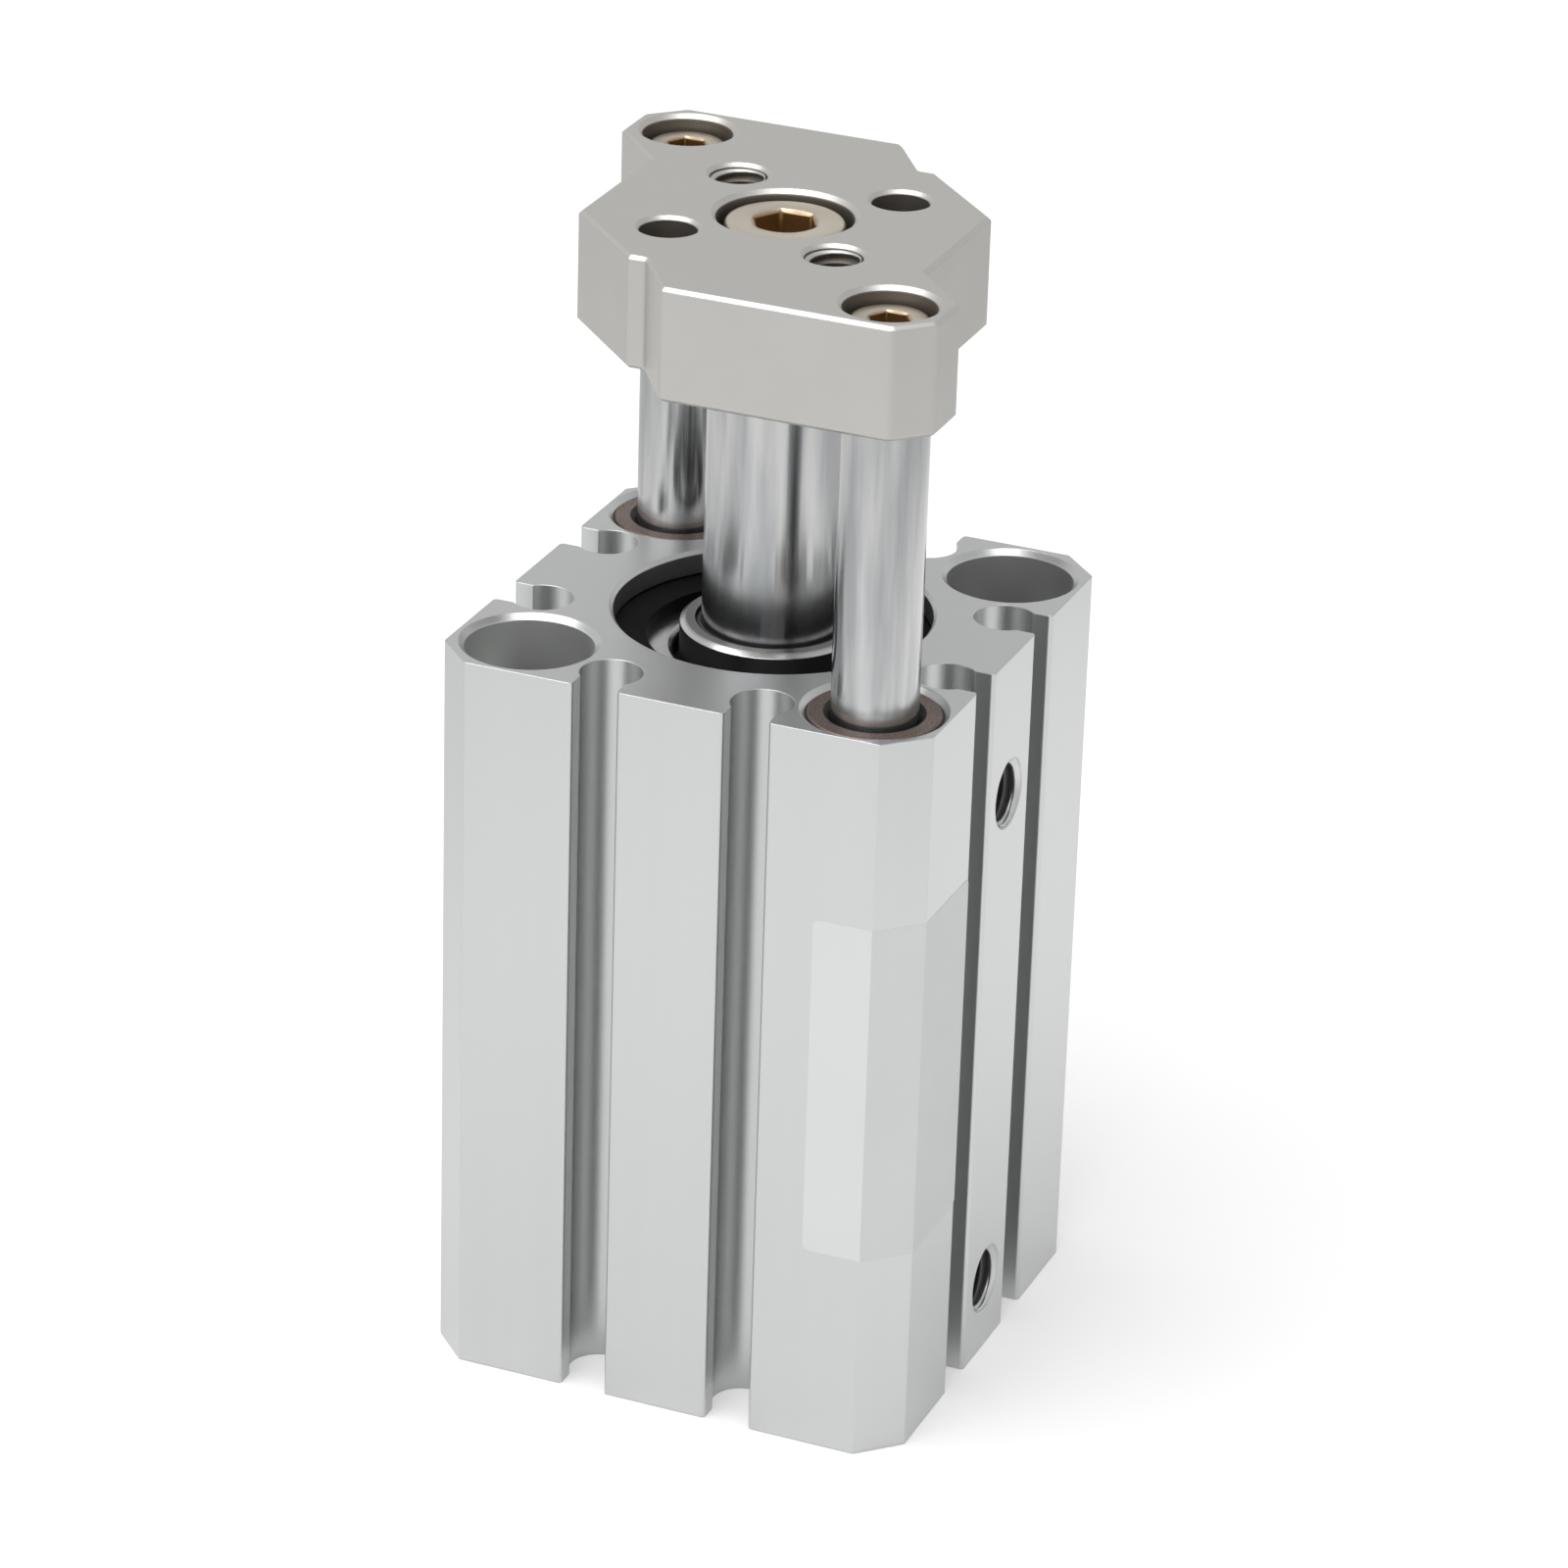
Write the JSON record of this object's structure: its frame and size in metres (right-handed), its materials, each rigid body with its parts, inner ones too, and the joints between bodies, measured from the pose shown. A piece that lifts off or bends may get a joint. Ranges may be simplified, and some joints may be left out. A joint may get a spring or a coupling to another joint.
{
  "type": "guided pneumatic cylinder",
  "caption": "Compact double-acting air cylinder in a square grooved body, with a non-rotating front plate carried by the piston rod and guide rods.",
  "frame": {"origin": "centre of the square body's base face", "axes": "+Z along the piston rod towards the front plate, +X out of the face with the two air ports, -Y the plain face beside the front guide rod"},
  "size_m": [0.036, 0.036, 0.0835],
  "materials": {
    "anodised_aluminium": "clear satin anodised extrusion",
    "plate_aluminium": "clear satin anodised, milled plate",
    "turned_aluminium": "turned and anodised",
    "chromed_steel": "ground and hard chromed",
    "yellow_zinc_steel": "yellow passivated zinc plate",
    "phosphated_spring_steel": "black phosphated",
    "sintered_bronze": "oil filled sintered bronze",
    "nitrile_rubber": "moulded",
    "urethane": "moulded",
    "wear_resin": "moulded resin",
    "bonded_magnet": "pressed and bonded"
  },
  "bodies": {
    "barrel": {"cylinder_tube": "anodised_aluminium", "rod_cover": "turned_aluminium", "rod_cover_o_ring": "nitrile_rubber", "rod_seal": "nitrile_rubber", "rod_cover_snap_ring": "phosphated_spring_steel", "front_upper_bush": "sintered_bronze", "front_lower_bush": "sintered_bronze", "rear_upper_bush": "sintered_bronze", "rear_lower_bush": "sintered_bronze"},
    "plunger": {"front_plate": "plate_aluminium", "piston_rod": "chromed_steel", "rod_screw": "yellow_zinc_steel", "front_guide_rod": "chromed_steel", "rear_guide_rod": "chromed_steel", "front_guide_screw": "yellow_zinc_steel", "rear_guide_screw": "yellow_zinc_steel", "piston_head_side": "turned_aluminium", "piston_rod_side": "turned_aluminium", "piston_rod_o_ring": "nitrile_rubber", "piston_magnet": "bonded_magnet", "piston_seal": "nitrile_rubber", "wear_ring": "wear_resin", "head_side_bumper": "urethane", "rod_side_bumper": "urethane"}
  },
  "joints": [
    {"name": "rod_slide", "type": "slide", "parent": "barrel", "child": "plunger", "axis": [0, 0, 1], "range_m": [-0.0165, 0.0085]}
  ]
}
